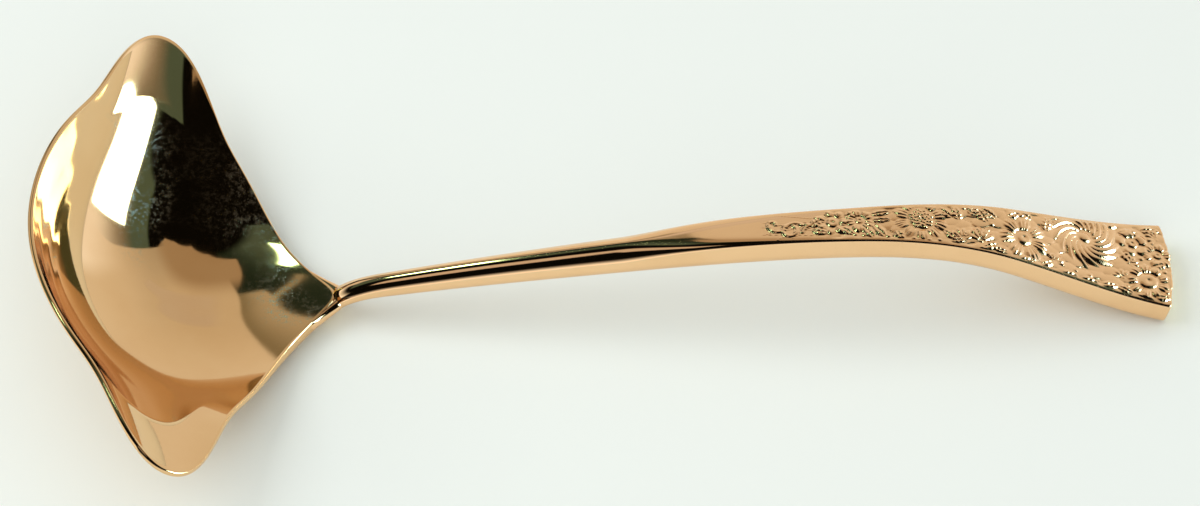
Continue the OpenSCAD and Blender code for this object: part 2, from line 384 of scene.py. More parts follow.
def place_group(tree, group, **values):
    """A node group placed in a tree with some of its inputs set."""
    kind = "GeometryNodeGroup" if tree.bl_idname == "GeometryNodeTree" else "ShaderNodeGroup"
    node = tree.nodes.new(kind)
    node.node_tree = group
    for name, item in values.items():
        join(tree, item, node.inputs[name.replace("_", " ")])
    return node


def size_label(group, key):
    """The name of a property, for the socket that carries it."""
    return group.bl_rna.properties[key].name


def size_sockets(group, keys):
    """Sockets that carry some sizes of a property group."""
    return [(size_label(group, key), "NodeSocketFloat", getattr(group, key)) for key in keys]


def size_values(group, keys, given):
    """The values of those sockets by the sizes' keys."""
    return SimpleNamespace(**{key: given[size_label(group, key)] for key in keys})


def end_tree(tree, shape, material, end):
    """Ends a geometry tree with real geometry and its material."""
    real = add_node(tree, "GeometryNodeRealizeInstances", Geometry=shape)
    painted = add_node(tree, "GeometryNodeSetMaterial", Geometry=out(tree, real), Material=material)
    join(tree, out(tree, painted), end.inputs["Geometry"])


def set_inputs(modifier, values):
    """Sets a modifier's inputs by the identifiers of their sockets."""
    for item in modifier.node_group.interface.items_tree:
        if item.item_type == "SOCKET" and item.in_out == "INPUT" and item.name in values:
            modifier[item.identifier] = values[item.name]


def mesh_from_tree(name, mesh, tree, values):
    """Runs a geometry tree on a mesh and returns the result as a plain mesh object."""
    maker = bpy.data.objects.new(name + "_maker", mesh)
    bpy.context.scene.collection.objects.link(maker)
    modifier = maker.modifiers.new("Shape", "NODES")
    modifier.node_group = tree
    set_inputs(modifier, values)
    bpy.context.view_layer.update()
    shown = maker.evaluated_get(bpy.context.evaluated_depsgraph_get())
    result = bpy.data.meshes.new_from_object(shown)
    result.name = name
    maker.modifiers.remove(modifier)
    bpy.data.objects.remove(maker)
    if not result.polygons:
        raise RuntimeError(name + " came out empty")
    piece = bpy.data.objects.new(name, result)
    bpy.context.scene.collection.objects.link(piece)
    return piece


# Materials

# Where the bowl's polish has gone dull, with a painted teal sheen, in metres: its left and right, its near
# and far side, the cleaner strip between its two spots, and a place left of which it starts only beyond a
# line
HAZE_LEFT, HAZE_RIGHT = -0.074, -0.034
HAZE_NEAR, HAZE_FAR = -0.006, 0.022
CLEAN_LEFT, CLEAN_RIGHT = -0.064, -0.0545
LINE_RIGHT, LINE_Y = -0.056, 0.005

# Roughness and refraction of the dull film there
HAZE_ROUGHNESS, HAZE_IOR = 0.28, 2.1

# Depth of the wiping marks, in metres
MARK_DEPTH = 0.00001

# Where the struck metal of the handle grows duller, in metres along it, and by how much
DULL_START, DULL_RUN, DULLING = 0.018, 0.012, 1.7


def noise(tree, place, scale, detail, roughness=0.5):
    """A noise texture as a value."""
    return out(tree, add_node(tree, "ShaderNodeTexNoise", Vector=place, Scale=scale, Detail=detail,
                              Roughness=roughness))


def object_place(tree):
    """The place on an object, in its own frame."""
    return out(tree, add_node(tree, "ShaderNodeTexCoord"), "Object")


def bowl_haze_and_sheen(tree, place):
    """Dull specks in the bowl with a painted teal sheen, in a spot beside the light box's reflection and in
    one before the neck.
    """
    patches = noise(tree, place, 150.0, 3.0, 0.6)
    grains = noise(tree, place, 1300.0, 4.0, 0.85)
    specks = ease((patches - 0.38) * 5.0) * ease((grains - 0.49) * 9.0)
    x, y, _ = separate(tree, place)
    inside = ramp(x, HAZE_LEFT, 0.006) * (1.0 - ramp(x, HAZE_RIGHT, 0.006))
    inside = inside * ramp(y, HAZE_NEAR, 0.004) * (1.0 - ramp(y, HAZE_FAR, 0.008))
    spots = 1.0 - 0.88 * window(x, CLEAN_LEFT, CLEAN_RIGHT, 0.005)
    return specks * inside * spots * limit(ramp(y, LINE_Y, 0.006) + ramp(x, LINE_RIGHT, 0.008))


def polish_group():
    """Shader group of polished plate: a drifting tint, cloudy polish, fine wiping marks and dull specks with
    a painted teal sheen.
    """
    tree, given, end = new_tree(
        "Polished plate", "ShaderNodeTree",
        [("Tint", "NodeSocketColor", (0.8, 0.5, 0.3, 1.0)),
         ("Deep tint", "NodeSocketColor", (0.7, 0.4, 0.2, 1.0)),
         # Teal of the painted sheen laid on the dull specks
         ("Painted sheen tint", "NodeSocketColor", (0.28, 0.46, 0.33, 1.0)),
         ("Polish", "NodeSocketFloat", 0.05),
         ("Cloud", "NodeSocketFloat", 90.0),
         ("Marks", "NodeSocketFloat", 2600.0),
         ("Haze", "NodeSocketFloat", 1.0)],
        [("Color", "NodeSocketColor"), ("Roughness", "NodeSocketFloat"), ("Height", "NodeSocketFloat"),
         ("Haze", "NodeSocketFloat"), ("Metal", "NodeSocketFloat")],
    )
    place = object_place(tree)
    drift = ease((noise(tree, place, given["Cloud"], 4.0) - 0.38) * 4.0)
    stretch = add_node(tree, "ShaderNodeMapping", Vector=place, Scale=(0.12, 1.0, 1.0),
                       Rotation=(0.0, 0.0, 0.35))
    marks = noise(tree, out(tree, stretch), given["Marks"], 2.0)
    specks = noise(tree, place, 900.0, 3.0)
    wiped = ease((specks - 0.58) * 6.0)
    haze_and_sheen = bowl_haze_and_sheen(tree, place) * given["Haze"]
    colour = over(tree, given["Tint"], given["Deep tint"], drift)
    made = {
        # Painted sheen: the dull specks take a teal tint where they lie beside the light box's reflection;
        # their dull coat is real
        "Color": over(tree, colour, given["Painted sheen tint"], haze_and_sheen * 0.6),
        "Roughness": given["Polish"] * (0.8 + drift * 0.5 + wiped * 0.5 + marks * 0.3),
        "Height": marks * 0.5 + specks * 0.5,
        "Haze": haze_and_sheen * 0.7,
        "Metal": 1.0 - haze_and_sheen * 0.12,
    }
    for name, item in made.items():
        join(tree, item, end.inputs[name])
    return tree


def shared_polish():
    """The polished-plate group, made once."""
    return bpy.data.node_groups.get("Polished plate") or polish_group()


def new_material(name):
    """A material with a Principled shader, and its tree and shader."""
    material = bpy.data.materials.new(name)
    material.use_nodes = True
    tree = material.node_tree
    return material, tree, tree.nodes["Principled BSDF"]


def gilt_material(name, tint_colour, deep_colour, polish, cloud, bump, haze_and_sheen=0.0):
    """Polished gilt metal on the shared plate effect, duller where the handle is struck."""
    material, tree, shader = new_material(name)
    plate = place_group(tree, shared_polish(), Tint=rgba(tint_colour), Deep_tint=rgba(deep_colour),
                        Polish=polish, Cloud=cloud, Haze=haze_and_sheen)
    for label, socket in (("Color", "Base Color"), ("Metal", "Metallic"), ("Haze", "Coat Weight")):
        join(tree, out(tree, plate, label), shader.inputs[socket])
    x = separate(tree, object_place(tree))[0]
    dulling = 1.0 + DULLING * ramp(x, DULL_START, DULL_RUN)
    join(tree, out(tree, plate, "Roughness") * dulling, shader.inputs["Roughness"])
    shader.inputs["Coat Roughness"].default_value = HAZE_ROUGHNESS
    shader.inputs["Coat IOR"].default_value = HAZE_IOR
    lift = add_node(tree, "ShaderNodeBump", Strength=bump, Distance=MARK_DEPTH,
                    Height=out(tree, plate, "Height"))
    join(tree, out(tree, lift), shader.inputs["Normal"])
    return material


# The bowl

# Sizes that shape the bowl's faces
FACE_SIZES = [
    "half_l", "half_w", "depth", "basin_order", "wall", "neck_wall", "wall_spread", "wall_order",
    "lip_reach", "lip_angle", "lip_spread", "lip_order", "lip_lift", "lip_flare_order", "rim_wave",
    "neck_reach", "neck_rise", "neck_spread", "neck_round", "neck_soft", "flare_order", "crease_at",
    "crease_rise", "crease_fall", "ripple", "ripple_step",
]

# The ripples' start, run and zero as shares of the way out, and the angles in radians that they keep to
RIPPLE_START, RIPPLE_RUN, RIPPLE_ZERO = 0.55, 0.15, 0.62
RIPPLE_ANGLE, RIPPLE_TURN = 1.9, 0.6

# Steps over which the face's slopes are taken
STEP_OUT, STEP_ROUND = 0.005, 0.003

# Numbers of faces along the sheet, round its rim and round the bowl
BOWL_STEPS, RIM_STEPS, BOWL_COLUMNS = 96, 10, 288


def bowl_shape(v, u, a):
    """A point of the bowl's inner face in the frame of its rim, and the sheet there.

    Takes the sizes, the share of the way out and the angle from the handle, as arrays or as node values.
    """
    wide, long = v.half_w * cos(a), v.half_l * sin(a)
    basin = v.half_l * v.half_w / root(wide * wide + long * long)
    lip = exp((size(size(a) - v.lip_angle) / v.lip_spread) ** v.lip_order * -0.5)
    soft = v.neck_round + v.neck_soft * (1.0 - u)
    neck = exp((soft - root(a * a + soft * soft)) / v.neck_spread)
    u_lip, u_neck = u ** v.lip_flare_order, u ** v.flare_order
    reach = basin * u + v.lip_reach * lip * u_lip + v.neck_reach * neck * u_neck
    rise = (v.depth * (u ** v.basin_order - 1.0) + v.lip_lift * lip * u_lip
            + (v.neck_rise * neck - v.rim_wave * cos(a * 2.0)) * u_neck)
    fold = least(u / v.crease_at, 1.0) ** 4.0 * v.crease_rise
    fold = fold - most(u - v.crease_at, 0.0) / (1.0 - v.crease_at) * v.crease_fall
    wave = v.ripple * sin((u - RIPPLE_ZERO) * (2 * math.pi) / v.ripple_step)
    wave = wave * ramp(u, RIPPLE_START, RIPPLE_RUN) * ramp(size(a), RIPPLE_ANGLE, RIPPLE_TURN)
    rise = rise + fold * lip + wave * (1.0 - lip)
    off = a / v.wall_spread
    sheet = v.wall + (v.neck_wall - v.wall) * exp(off * off * -1.0) * u ** v.wall_order
    return (reach * cos(a), reach * sin(a), rise), sheet


def bowl_face(b, u, a):
    """Points of the inner face, as an array."""
    return np.stack(bowl_shape(b, u, a)[0], -1)


def bowl_wall(b, u, a):
    """Thickness of the sheet, as an array."""
    return bowl_shape(b, u, a)[1]


def unit(vectors):
    """Vectors brought to a length of 1."""
    return vectors / np.linalg.norm(vectors, axis=-1, keepdims=True)


def bowl_around(b, u, a):
    """Unit vectors along the inner face, round the bowl."""
    return unit(bowl_face(b, u, a + STEP_ROUND) - bowl_face(b, u, a - STEP_ROUND))


def bowl_normal(b, u, a):
    """Unit normals of the inner face, pointing into the bowl."""
    along = bowl_face(b, u + STEP_OUT, a) - bowl_face(b, u - STEP_OUT, a)
    return unit(np.cross(along, bowl_around(b, u, a)))


def bowl_below(b, x, y, gap):
    """Height in the rim's frame of a face at a distance under the bowl's back."""
    a, r = np.arctan2(y, x), np.hypot(x, y)
    u, step = np.full_like(r, 0.8), 0.001
    for _ in range(8):
        now, then = (np.hypot(*bowl_shape(b, way, a)[0][:2]) for way in (u, u + step))
        u = u - (now - r) * step / (then - now)
    (_, _, z), sheet = bowl_shape(b, u, a)
    return z - (sheet + gap) / bowl_normal(b, u, a)[..., 2]


def bowl_tilted(b, points):
    """Points of the rim's frame, tilted."""
    c, s = math.cos(b.tilt), math.sin(b.tilt)
    x, y, z = np.moveaxis(points, -1, 0)
    return np.stack([x * c + z * s, y, z * c - x * s], -1)


def bowl_shift(b):
    """Move that sets the tilted bowl where its CAD node is."""
    u, a = np.meshgrid(np.linspace(0.02, 1.0, 80), np.radians(np.linspace(-180, 180, 361)))
    back = bowl_face(b, u, a) - bowl_wall(b, u, a)[..., None] * bowl_normal(b, u, a)
    low = bowl_tilted(b, back).reshape(-1, 3).min(0)
    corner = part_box("bowl")[0]
    return np.array([corner.x - low[0], 0.0, corner.z - low[2]])


def bowl_placed(b, points):
    """Points of the rim's frame in the ladle's frame."""
    return bowl_tilted(b, points) + bowl_shift(b)


def face_tree(b):
    """Geometry group: a point of the bowl's inner face and the sheet's thickness there."""
    sockets = [("Way out", "NodeSocketFloat", 0.0), ("Angle", "NodeSocketFloat", 0.0)]
    tree, given, end = new_tree(
        "Face of the bowl", "GeometryNodeTree", sockets + size_sockets(b, FACE_SIZES),
        [("Point", "NodeSocketVector"), ("Sheet", "NodeSocketFloat")],
    )
    point, sheet = bowl_shape(size_values(b, FACE_SIZES, given), given["Way out"], given["Angle"])
    join(tree, combine(tree, *point), end.inputs["Point"])
    join(tree, sheet, end.inputs["Sheet"])
    return tree


def bowl_tree(b, material):
    """Geometry tree of the bowl: one sheet whose inner face, rounded rim and back are a closed profile."""
    sockets = [("Geometry", "NodeSocketGeometry", None), ("Place", "NodeSocketVector", (0.0, 0.0, 0.0))]
    sockets += size_sockets(b, FACE_SIZES + ["rim_round", "tilt"])
    tree, given, end = new_tree("Bowl with two lips", "GeometryNodeTree", sockets,
                                [("Geometry", "NodeSocketGeometry")])
    face = face_tree(b)
    face_sizes = {size_label(b, key): given[size_label(b, key)] for key in FACE_SIZES}
    rows = 2 * BOWL_STEPS + RIM_STEPS
    grid = add_node(tree, "GeometryNodeMeshGrid", Vertices_X=rows + 1, Vertices_Y=BOWL_COLUMNS + 1)
    x, y, _ = separate(tree, out(tree, tree.nodes.new("GeometryNodeInputPosition")))
    row = (x + 0.5) * float(rows)
    turn = y * 2.0
    # Columns lie closer at the neck, the lips and the front, and rows lie closer towards the rim
    a = (turn - sin(turn * (4 * math.pi)) * (0.5 / (4 * math.pi))) * math.pi
    step = least(least(row, rows - row), float(BOWL_STEPS))
    u = (step / float(BOWL_STEPS)) ** 0.8
    side = limit((row - float(BOWL_STEPS)) / float(RIM_STEPS)) * math.pi

    def face_at(way, around_angle):
        node = place_group(tree, face)
        for name, item in {**face_sizes, "Way out": way, "Angle": around_angle}.items():
            join(tree, item, node.inputs[name])
        return node

    def between(start, stop):
        return vector_calc(tree, "SUBTRACT", out(tree, face_at(*stop)), out(tree, face_at(*start)))

    here = face_at(u, a)
    low, middle = most(u - STEP_OUT, 0.0), most(u, STEP_OUT)
    along = vector_calc(tree, "NORMALIZE", between((low, a), (low + 2 * STEP_OUT, a)))
    around = between((middle, a - STEP_ROUND), (middle, a + STEP_ROUND))
    normal = vector_calc(tree, "NORMALIZE", vector_calc(tree, "CROSS_PRODUCT", along, around))
    sink = (1.0 - cos(side)) * 0.5 * out(tree, here, "Sheet")
    push = sin(side) * given[size_label(b, "rim_round")]
    spot = vector_calc(tree, "SUBTRACT", out(tree, here), vector_calc(tree, "SCALE", normal, sink))
    spot = vector_calc(tree, "ADD", spot, vector_calc(tree, "SCALE", along, push))
    tilted = add_node(tree, "ShaderNodeVectorRotate", Vector=spot, Angle=given[size_label(b, "tilt")])
    tilted.rotation_type = "Y_AXIS"
    placed = vector_calc(tree, "ADD", out(tree, tilted), given["Place"])
    moved = add_node(tree, "GeometryNodeSetPosition", Geometry=out(tree, grid, "Mesh"), Position=placed)
    merged = add_node(tree, "GeometryNodeMergeByDistance", Geometry=out(tree, moved), Distance=0.000001)
    smooth = add_node(tree, "GeometryNodeSetShadeSmooth", Geometry=out(tree, merged))
    end_tree(tree, out(tree, smooth), material, end)
    return tree


# The handle

# Numbers of points on a section's top and back
SECTION_TOP, SECTION_BACK = 121, 35

# Numbers of sections in each stretch, the length before the crest from which they lie closer, and the
# numbers of the collar
TONGUE_ROWS, HEEL_ROWS, SHANK_ROWS, FLAT_ROWS, END_ROWS = 22, 10, 110, 470, 6
FLAT_BEFORE_CREST = 0.024
COLLAR_ROWS, COLLAR_STEPS = 61, 24


def hermite(a, b, run, rise_a, rise_b, t):
    """Cubic from a to b over a run, with the rise per unit length at both ends."""
    return ((2 * t ** 3 - 3 * t * t + 1) * a + (t ** 3 - 2 * t * t + t) * run * rise_a
            + (3 * t * t - 2 * t ** 3) * b + (t ** 3 - t * t) * run * rise_b)


def handle_stations(h, rim):
    """Places along the handle: x, height of the top, slope, width and thickness."""
    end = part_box("handle")[1].x - h.end_bulge
    end_h = h.end_t * math.cos(h.end_slope) - h.end_bulge * math.sin(h.end_slope)
    return np.array([
        [rim[0] + h.root_gap, rim[2] + h.root_step, h.root_slope, h.shank_w, h.root_t],
        [rim[0] + h.neck_run, h.shank_h, h.shank_slope, h.shank_w, h.shank_t],
        [end - h.swell_back, h.swell_h, h.swell_slope, h.swell_w, h.swell_t],
        [end - h.crest_back, h.crest_h, 0.0, h.crest_w, h.crest_t],
        [end - h.bend_back, h.bend_h, h.bend_slope, h.bend_w, h.bend_t],
        [end, end_h, h.end_slope, h.end_w, h.end_t],
    ])


def along_stations(stations, x):
    """Height of the top, width and thickness at the places x."""
    k = np.clip(np.searchsorted(stations[:, 0], x) - 1, 0, len(stations) - 2)
    a, b = stations[k], stations[k + 1]
    run = b[:, 0] - a[:, 0]
    t = (x - a[:, 0]) / run
    rise = np.tan(stations[:, 2])
    found = [hermite(a[:, 1], b[:, 1], run, rise[k], rise[k + 1], t)]
    index = np.arange(len(stations))
    before, after = np.maximum(index - 1, 0), np.minimum(index + 1, len(stations) - 1)
    span = stations[after, 0] - stations[before, 0]
    for column in (3, 4):
        rise = (stations[after, column] - stations[before, column]) / span
        found.append(hermite(a[:, column], b[:, column], run, rise[k], rise[k + 1], t))
    return found


def spaced(points, count):
    """Points evenly spaced along a line of points."""
    steps = np.linalg.norm(np.diff(points, axis=0), axis=1)
    way = np.concatenate([[0.0], np.cumsum(steps)])
    stops = np.linspace(0.0, way[-1], count)
    return np.stack([np.interp(stops, way, points[:, c]) for c in range(points.shape[1])], -1)


def half_section(order, half_w, rise, count):
    """Upper half of a rounded section, evenly spaced from one side to the other."""
    a = np.linspace(0.0, math.pi, 400)
    even = np.arccos(np.linspace(1.0, -1.0, 400))
    square = np.arccos(np.sign(np.cos(even)) * np.abs(np.cos(even)) ** (order / 2))
    a = np.unique(np.concatenate([a, square]))
    y = half_w * np.sign(np.cos(a)) * np.abs(np.cos(a)) ** (2 / order)
    n = rise * np.clip(np.sin(a), 0, 1) ** (2 / order)
    return spaced(np.stack([y, n], -1), count)


def handle_rings(h, stations, xs, inset):
    """Sections of the handle at the places xs, each drawn in by an inset, and their half widths."""
    z, width, thick = along_stations(stations, xs)
    step = 0.00005
    climb = along_stations(stations, xs + step)[0] - along_stations(stations, xs - step)[0]
    slope = np.arctan(climb / (2 * step))
    swell, bend, end = stations[2, 0], stations[4, 0], stations[5, 0]
    flat = ramp(xs, swell - h.flat_lead, bend - swell)
    plane = ramp(xs, swell - h.plane_lead, h.plane_run)
    last = ramp(xs, end - h.bulge_run, h.bulge_run)
    rings = []
    for i, x in enumerate(xs):
        half_w, t = width[i] / 2 - inset[i], thick[i] - 2 * inset[i]
        belt = (h.shank_belt + (h.end_belt - h.shank_belt) * flat[i]) * t
        top_order = h.ridge_order + (h.plane_order - h.ridge_order) * plane[i]
        back_order = h.back_order + (h.flat_order - h.back_order) * flat[i]
        top = half_section(top_order, half_w, belt, SECTION_TOP)
        back = half_section(back_order, half_w, t - belt, SECTION_BACK + 2)[::-1][1:-1]
        y = np.concatenate([top[:, 0], back[:, 0]])
        n = np.concatenate([top[:, 1], -back[:, 1]]) - belt - inset[i]
        bulge = h.end_bulge * last[i] * (1 - (y / half_w) ** 2)
        s, c = math.sin(slope[i]), math.cos(slope[i])
        rings.append(np.stack([x - n * s + bulge * c, y, z[i] + n * c + bulge * s], -1))
    return np.array(rings), width / 2


def tongue_rings(h, b):
    """Sections of the tongue under the bowl, from its round end to the neck."""
    neck_x = bowl_face(b, np.array(1.0), np.array(0.0))[0]
    widest, start = neck_x - h.tongue_shoulder, neck_x - h.tongue_l
    stops = start + (neck_x - h.root_gap - start) * np.linspace(0.0, 1.0, TONGUE_ROWS) ** 1.3
    turn = np.concatenate([np.linspace(0.0, math.pi, SECTION_TOP),
                           np.linspace(math.pi, 2 * math.pi, SECTION_BACK + 2)[1:-1]])
    rings = []
    for x in stops:
        if x >= widest:
            share = math.sin(0.5 * math.pi * (x - widest) / (neck_x - widest)) ** 0.9
            half_w = h.tongue_half_w + (h.shank_w / 2 + h.neck_flare - h.tongue_half_w) * share
        else:
            half_w = h.tongue_half_w * math.sqrt(max(0.002, 1 - ((widest - x) / (widest - start)) ** 2))
        deep = h.tongue_edge + (h.tongue_t - h.tongue_edge) * float(ramp(x, start, h.tongue_l))
        y = half_w * np.cos(turn)
        top = bowl_below(b, np.full_like(y, x), y, h.braze_gap)
        under = np.where(np.sin(turn) < -1e-9, h.tongue_edge + deep * np.sqrt(np.abs(np.sin(turn))), 0.0)
        rings.append(bowl_placed(b, np.stack([np.full_like(y, x), y, top - under], -1)))
    return np.array(rings), turn


def collar_rings(h, b):
    """Sections of the collar outside the rim, from one side of the neck round to the other."""
    share = np.linspace(-1.0, 1.0, COLLAR_ROWS)
    a, u = share * h.collar_reach, np.ones(COLLAR_ROWS)
    normal = bowl_normal(b, u, a)
    outward = np.cross(bowl_around(b, u, a), normal)
    left = 1 - np.abs(share) + 0.01
    width = h.collar_w * np.sqrt(left) + h.collar_fillet * left ** 3
    half_t = bowl_wall(b, u, a) / 2
    middle = bowl_face(b, u, a) - normal * half_t[:, None] + outward * (width / 2 - b.rim_round)[:, None]
    wide = (outward * (width / 2 + b.rim_round)[:, None])[:, None]
    thick = (normal * half_t[:, None])[:, None]
    turn = np.linspace(0.0, 2 * math.pi, COLLAR_STEPS, endpoint=False)[:, None]
    return bowl_placed(b, middle[:, None] + wide * np.cos(turn) + thick * np.sin(turn))


def heel_rings(h, first, last, turn):
    """Sections between the tongue's last one and the shank's first one, sagging a little below."""
    rings = []
    for t in np.linspace(0.0, 1.0, HEEL_ROWS + 1)[1:-1]:
        ring = first + (last - first) * t
        ring[:, 2] += h.heel_sag * math.sin(math.pi * t) * np.minimum(np.sin(turn), 0.0)
        rings.append(ring)
    return np.array(rings)


def loft(name, *stacks):
    """A mesh through rows of closed sections, with a cap on both ends of each row."""
    points, faces = [], []
    for rings in stacks:
        rows, count = rings.shape[:2]
        index = np.arange(rows * count).reshape(rows, count) + len(points)
        a, b = index[:-1], index[1:]
        quads = np.stack([a, np.roll(a, -1, 1), np.roll(b, -1, 1), b], -1).reshape(-1, 4)
        faces += [tuple(q) for q in quads.tolist()]
        points += rings.reshape(-1, 3).tolist()
        for ring, row, flip in ((rings[0], index[0], True), (rings[-1], index[-1], False)):
            centre = len(points)
            points.append(ring.mean(0).tolist())
            for p, q in zip(row.tolist(), np.roll(row, -1).tolist()):
                faces.append((q, p, centre) if flip else (p, q, centre))
    mesh = bpy.data.meshes.new(name)
    mesh.from_pydata(points, [], faces)
    mesh.polygons.foreach_set("use_smooth", [True] * len(mesh.polygons))
    mesh.update()
    return mesh


def store_values(mesh, label, values):
    """Stores a number at each point of a mesh."""
    mesh.attributes.new(label, "FLOAT", "POINT").data.foreach_set("value", values)


def handle_mesh(h, b):
    """The handle before its relief, with the values that place the relief on its top."""
    stations = handle_stations(h, bowl_placed(b, bowl_face(b, np.array(1.0), np.array(0.0))))
    start, flat, end = stations[0, 0], stations[3, 0] - FLAT_BEFORE_CREST, stations[5, 0]
    turn = np.linspace(0.0, 0.5 * math.pi, END_ROWS)
    xs = np.concatenate([np.linspace(start, flat, SHANK_ROWS)[:-1],
                         np.linspace(flat, end - h.end_round, FLAT_ROWS)[:-1],
                         end - h.end_round * (1 - np.sin(turn))])
    inset = np.zeros(len(xs))
    inset[-END_ROWS:] = h.end_round * (1 - np.cos(turn))
    shank, half_w = handle_rings(h, stations, xs, inset)
    tongue, around = tongue_rings(h, b)
    rings = np.concatenate([tongue, heel_rings(h, tongue[-1], shank[0], around), shank])
    mesh = loft("handle_start", rings, collar_rings(h, b))
    top_line = np.stack([xs, along_stations(stations, xs)[0]], -1)
    way = np.concatenate([[0.0], np.cumsum(np.linalg.norm(np.diff(top_line, axis=0), axis=1))])
    along = np.full(rings.shape[:2], 1.0)
    along[-len(xs):] = (way[-1] - way)[:, None]
    border = np.full(rings.shape[:2], -1.0)
    border[-len(xs):, :SECTION_TOP] = half_w[:, None] - np.abs(shank[:, :SECTION_TOP, 1])
    grids = {"along": (along, 0.0), "across": (rings[..., 1], 0.0), "edge": (border, -1.0),
             "relief": (np.zeros(rings.shape[:2]), 0.0)}
    for label, (grid, elsewhere) in grids.items():
        values = np.full(len(mesh.vertices), elsewhere)
        values[:grid.size] = grid.ravel()
        store_values(mesh, label, values)
    return mesh


# The relief

# Flowers and fans: distance from the end and place across in mm, reach in mm, petals, ridges a petal, twist
# in degrees, share of the dome, height share, turn and span in degrees
FLOWERS = [
    (12.9, 2.5, 5.9, 15, 1, 78, 0.17, 1.3, 0, 360),
    (23.4, -0.4, 4.4, 7, 4, 0, 0.29, 1.25, -18, 360),
    (39.3, 0.8, 4.4, 10, 3, 0, 0.42, 1.2, 18, 360),
    (3.7, -3.5, 3.6, 9, 3, 0, 0.40, 1.3, 20, 360),
    (5.5, 3.2, 2.8, 5, 1, 0, 0.32, 1.2, 30, 360),
    (2.0, 1.6, 2.6, 6, 3, 0, 0.30, 1.15, 10, 360),
    (52.4, 0.4, 2.6, 7, 2, 0, 0.36, 1.15, 0, 360),
    (48.4, 0.6, 2.4, 5, 3, 0, 0.28, 1.05, 40, 360),
    (30.4, -2.5, 2.7, 5, 1, 0, 0.10, 1.2, 95, 150),
    (33.2, -2.8, 2.6, 5, 1, 0, 0.10, 1.15, 85, 120),
    (18.6, -3.6, 1.9, 4, 1, 0, 0.12, 0.8, 60, 150),
    (7.6, -3.6, 1.8, 4, 1, 0, 0.12, 0.8, 100, 150),
    (1.5, 4.6, 1.9, 5, 1, 0, 0.12, 0.85, 150, 160),
    (6.6, -0.6, 1.9, 5, 1, 0, 0.12, 0.85, 20, 150),
]

# Leaves: place of the stalk as above, direction in degrees, length and half width in mm, veins, height share
LEAVES = [
    (29.2, 1.2, 120, 3.1, 1.04, 5, 1.0),
    (27.6, 2.3, 150, 3.4, 1.04, 5, 1.0),
    (31.8, 2.2, 60, 2.7, 1.04, 4, 1.0),
    (33.6, 1.0, 100, 2.9, 1.04, 4, 1.0),
    (34.6, 1.4, 140, 2.7, 0.91, 4, 0.94),
    (27.6, -2.6, 200, 2.9, 0.91, 4, 0.94),
    (26.4, -3.8, 170, 2.7, 0.78, 4, 0.88),
    (24.6, -4.6, 10, 2.7, 0.72, 4, 0.88),
    (21.0, -4.6, 25, 2.9, 0.78, 4, 0.88),
    (19.6, 1.9, 75, 3.4, 1.04, 5, 1.0),
    (18.4, 4.2, 20, 3.6, 1.04, 5, 1.0),
    (21.6, 3.6, 160, 3.6, 1.04, 5, 0.94),
    (25.8, 3.0, 30, 2.9, 0.91, 4, 0.94),
    (17.6, -5.2, 0, 2.9, 0.72, 4, 0.88),
    (14.4, -5.4, -5, 3.1, 0.78, 4, 0.88),
    (11.0, -5.6, 5, 2.9, 0.78, 4, 0.88),
    (8.4, -5.4, -20, 2.7, 0.78, 4, 0.88),
    (9.4, 5.6, 30, 3.4, 0.91, 5, 0.94),
    (7.2, 5.0, 5, 3.6, 0.91, 5, 1.0),
    (3.6, 6.0, 10, 2.9, 0.91, 4, 0.94),
    (7.4, 1.6, -60, 2.7, 0.91, 4, 1.0),
    (3.0, -0.6, 20, 2.7, 0.91, 4, 1.0),
    (5.6, -6.4, -12, 3.4, 0.78, 5, 0.94),
    (2.6, -6.2, 0, 2.5, 0.78, 4, 0.94),
    (55.6, -0.2, 35, 2.5, 0.78, 4, 0.88),
    (55.4, -0.9, -15, 2.7, 0.72, 4, 0.88),
    (51.0, -0.6, -40, 2.2, 0.78, 3, 0.94),
    (50.6, 1.4, 20, 2.5, 0.65, 3, 0.88),
    (47.8, -0.4, -60, 2.9, 0.91, 2, 1.0),
    (46.4, -0.2, -55, 3.1, 0.91, 2, 1.0),
    (46.6, 1.6, 10, 3.1, 0.65, 3, 1.0),
    (46.4, 0.6, 0, 2.9, 0.65, 3, 1.0),
    (43.0, -1.4, -70, 1.8, 0.78, 3, 1.0),
    (36.0, -1.2, -40, 2.5, 0.78, 3, 1.0),
    (35.2, -3.0, 10, 2.9, 0.65, 4, 0.88),
    (31.6, -4.0, 0, 3.1, 0.65, 4, 0.88),
]

# Scrolls: middle as above, radius in mm, start and sweep in degrees, half thickness in mm
SCROLLS = [
    (61.2, 0.5, 0.55, -20, 300, 0.26),
    (60.4, 0.7, 1.5, 200, 120, 0.28),
    (58.7, -0.7, 1.0, 100, 330, 0.28),
    (57.9, -0.9, 1.5, 40, 120, 0.28),
    (55.0, -1.8, 2.0, 80, 90, 0.28),
]

# Small beads and buds: place as above and radius in mm
BUDS = [
    (56.2, 0.2, 0.35), (54.6, 1.3, 0.35), (53.8, -1.5, 0.3), (49.2, -1.9, 0.35), (47.9, -2.1, 0.35),
    (44.4, -2.4, 0.35), (42.3, -2.6, 0.4), (40.6, -2.9, 0.4), (39.9, -3.1, 0.35), (38.4, -3.1, 0.4),
    (36.8, -3.0, 0.35), (36.2, 2.9, 0.4), (34.2, 3.0, 0.35), (32.6, 3.4, 0.35), (29.2, -0.2, 0.4),
    (28.4, 1.0, 0.35), (26.9, -1.7, 0.4), (19.4, -2.3, 0.45), (15.2, -4.2, 0.4), (12.9, -4.5, 0.5),
    (7.0, -5.0, 0.45), (6.6, 2.6, 0.4), (4.6, 0.6, 0.45), (1.2, -1.4, 0.4), (0.9, -5.2, 0.4),
    (1.0, 6.3, 0.35),
]
BUD_LEVEL = 0.8

# The flower in the list above whose centre is beaded, its beads, and the angle from one bead to the next
BEADED_FLOWER = 2
BEADS = 34
GOLDEN_ANGLE = math.radians(137.508)

